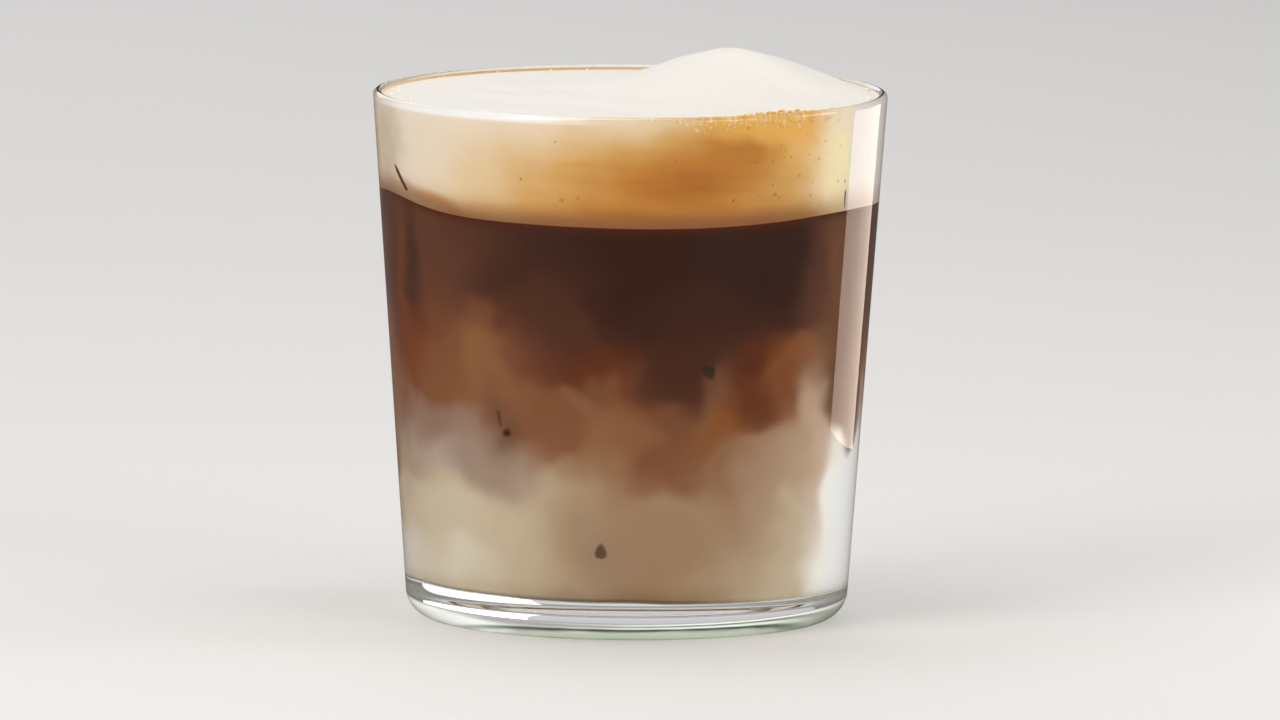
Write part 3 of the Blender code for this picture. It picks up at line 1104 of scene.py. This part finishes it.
film = {
    "segments": 360,
    "sides": 12,
    "thickness": 0.14,
    "intoGlass": 0.02,
    "below": 0.7,
    "ragged": 0.06,
    "stops": (  # azimuth, height above the foam's edge, tone: high at the back left, where it was tilted
        # the near white at the front left is a painted highlight along the lip
        (-180, 0.62, "cdae7c"), (-140, 0.75, "c8a56c"), (-100, 0.35, "e6d3b4"), (-78, 0.30, "fffdf8"),
        (-15, 0.42, "fffdf8"), (8, 0.34, "f3dca8"), (28, 0.46, "e0a544"), (48, 0.42, "e4b258"),
        (62, 0.30, "f5e2b8"), (100, 0.22, "f4ead8"), (150, 0.34, "e2c79a"), (180, 0.62, "cdae7c"),
    ),
}


def makeFilm():
    # A closed ring: a flat rounded section on the glass, carried round the axis as its height varies
    segments, sides = film["segments"], film["sides"]
    azimuth = np.linspace(-180, 180, segments, endpoint=False)
    angle = np.radians(azimuth)
    stops = [stop for stop, _, _ in film["stops"]]
    circle = np.column_stack((np.sin(angle), np.cos(angle), angle * 0)) * tumbler["rimRadius"]
    ragged = waveNoise(circle, 4.0, 91)
    rise = np.interp(azimuth, stops, [height for _, height, _ in film["stops"]]) + film["ragged"] * ragged
    section = np.linspace(0, turn, sides, endpoint=False)
    middle, half = (rise - film["below"]) / 2, (rise + film["below"]) / 2
    z = foamEdge + middle[:, None] + half[:, None] * np.sin(section)
    z = np.minimum(z, tumbler["height"] - tumbler["rimWall"] / 4)
    radius = innerRadius(z) + film["intoGlass"] - film["thickness"] / 2 * (1 - np.cos(section))
    points = np.stack((radius * np.sin(angle)[:, None], -radius * np.cos(angle)[:, None], z), axis=-1)
    row, column = np.meshgrid(np.arange(segments), np.arange(sides), indexing="ij")
    following, beside = (row + 1) % segments, (column + 1) % sides
    quads = np.stack((
        row * sides + column, following * sides + column, following * sides + beside, row * sides + beside,
    ), axis=-1)
    piece = meshFrom("cremaFilm", points.reshape(-1, 3) * mm, [quads.reshape(-1, 4)])
    painted = ramp(azimuth, [(place, linear(code)) for place, _, code in film["stops"]])
    setColours(piece, "crema", np.repeat(painted, sides, axis=0))
    piece.data.materials.append(bubbleFinish)
    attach(piece, "root")


bubbleFinish = paintedMaterial("bubbleSkin", "crema", *bubbles["finish"])[0]
makeWallBubbles()
makeFroth()
makeFilm()
print("bubbles and film made")


# Floor, lamps and sky

studio = {
    "floorRadius": 8.0,
    "floorSides": 96,
    "floorDrop": 0.00005,  # metres under the foot, so that the two don't share a plane
    "floorColour": (0.80, 0.785, 0.765),
    "mirroredFloor": (0.16, 0.115, 0.09),  # darker and warmer in reflections, so that the drink isn't veiled
    "mirroredSky": 0.35,
    "skyStrength": 0.6,
    "skyLow": (0.30, 0.29, 0.30),
    "skyHigh": (0.85, 0.86, 0.88),
    "lampAim": (0, 0, 0.045),
    "lamps": (
        # name, place in metres, size, watts, colour
        ("overhead", (-0.10, 0.10, 0.95), (0.9, 0.9), 3.7, (1.0, 0.985, 0.96)),
        ("keyLeft", (-0.75, -0.75, 0.55), (0.6, 0.6), 5.5, (1.0, 0.98, 0.95)),
        ("fillRight", (0.8, -0.8, 0.45), (0.6, 0.6), 3.5, (1.0, 0.985, 0.96)),
        ("softBack", (-0.25, 1.1, 0.5), (0.7, 0.5), 1.3, (0.97, 0.985, 1.0)),
        ("sideRight", (1.1, 0.05, 0.35), (0.5, 0.5), 2.6, (1.0, 0.985, 0.96)),
    ),
    # Cards that one kind of ray sees, mirrored, through the glass or as soft light: name, bearing
    # from the camera's side towards +X, distance, height, height aimed at, width and rise in
    # metres, radiance, tint, kind
    "cards": (
        ("stripRight", 124.5, 0.168, 0.0385, 0.0385, 0.090, 0.067, 2.1, (1.0, 0.84, 0.71), "glossy"),
        ("lipLight", -42, 0.80, 0.75, 0.09, 0.50, 0.30, 9.0, (1.0, 0.99, 0.97), "glossy"),
        ("roomBack", 185, 0.75, 0.120, 0.08, 1.300, 0.300, 0.42, (1.0, 0.96, 0.99), "transmission"),
        ("windowBack", 144, 0.60, 0.140, 0.09, 0.420, 0.270, 1.4, (0.97, 0.98, 1.0), "transmission"),
        ("underGlow", 0, 0.0, 0.0003, 1.0, 0.052, 0.052, 0.8, (0.98, 1.0, 0.97), "diffuse"),
    ),
}


def mirrored(tree):
    # 1 for what is seen as a mirror image in gloss, 0 for all else, refraction included
    path = addNode(tree, "ShaderNodeLightPath")
    both = addNode(tree, "ShaderNodeMath", operation="MULTIPLY")
    join(tree, path, "Is Glossy Ray", both, 0)
    join(tree, path, "Is Reflection Ray", both, 1)
    return both.outputs["Value"]


def addLamp(name, place, size, watts, tint, aim):
    # A flat lamp that faces the point aimed at
    data = bpy.data.lights.new(name, "AREA")
    data.shape = "RECTANGLE"
    data.size, data.size_y = size
    data.energy = watts
    data.color = tint
    lamp = bpy.data.objects.new(name, data)
    lamp.location = place
    lamp.rotation_mode = "QUATERNION"
    lamp.rotation_quaternion = (Vector(aim) - Vector(place)).to_track_quat("-Z", "Y")
    bpy.context.scene.collection.objects.link(lamp)
    return lamp


def makeCard(name, bearing, distance, height, aimHeight, width, rise, radiance, tint, seenBy):
    # A lamp that faces the tumbler; watts = pi times radiance times area
    angle = math.radians(bearing)
    place = (distance * math.sin(angle), -distance * math.cos(angle), height)
    watts = math.pi * radiance * width * rise
    card = addLamp(name, place, (width, rise), watts, tint, (0, 0, aimHeight))
    card.visible_camera = False
    card.visible_diffuse = seenBy == "diffuse"
    card.visible_glossy = seenBy == "glossy"
    card.visible_transmission = seenBy == "transmission"


def makeFloor():
    sides = studio["floorSides"]
    angle = np.linspace(0, turn, sides, endpoint=False)
    rim = np.column_stack((np.cos(angle), np.sin(angle), np.zeros(sides))) * studio["floorRadius"]
    rim[:, 2] = -studio["floorDrop"]
    floor = meshFrom("studioFloor", rim, [np.arange(sides)[None, :]])
    made, tree, shader = newMaterial("paleFloor")
    colour = addNode(tree, "ShaderNodeRGB")
    colour.outputs["Color"].default_value = (*studio["floorColour"], 1)
    varied = addMottle(tree, colour.outputs["Color"], 6.0, 0.03)
    seen = addNode(tree, "ShaderNodeMix", data_type="RGBA")
    tree.links.new(mirrored(tree), seen.inputs["Factor"])
    join(tree, varied, "Color", seen, "A")
    seen.inputs["B"].default_value = (*studio["mirroredFloor"], 1)
    join(tree, seen, "Result", shader, "Base Color")
    setInputs(shader, {"Roughness": 0.75, "Specular IOR Level": 0.1})
    floor.data.materials.append(made)


def makeSky():
    # Paler overhead, and dimmer in mirror images
    world = bpy.data.worlds.new("studioSky")
    bpy.context.scene.world = world
    world.use_nodes = True
    tree = world.node_tree
    sky = addNode(tree, "ShaderNodeTexCoord")
    split = addNode(tree, "ShaderNodeSeparateXYZ")
    fade = addNode(tree, "ShaderNodeValToRGB")
    low, high = fade.color_ramp.elements
    low.position, high.position = 0.0, 0.8
    low.color = (*studio["skyLow"], 1)
    high.color = (*studio["skyHigh"], 1)
    join(tree, sky, "Generated", split, "Vector")
    join(tree, split, "Z", fade, "Fac")
    tree.links.new(fade.outputs["Color"], tree.nodes["Background"].inputs["Color"])
    dim = addNode(tree, "ShaderNodeMath", operation="MULTIPLY_ADD")
    tree.links.new(mirrored(tree), dim.inputs[0])
    dim.inputs[1].default_value = studio["skyStrength"] * (studio["mirroredSky"] - 1)
    dim.inputs[2].default_value = studio["skyStrength"]
    tree.links.new(dim.outputs["Value"], tree.nodes["Background"].inputs["Strength"])


makeFloor()
for name, place, size, watts, tint in studio["lamps"]:
    addLamp(name, place, size, watts, tint, studio["lampAim"]).visible_transmission = False
for card in studio["cards"]:
    makeCard(*card)
makeSky()
bpy.context.scene.view_settings.view_transform = "Standard"
print("studio made")
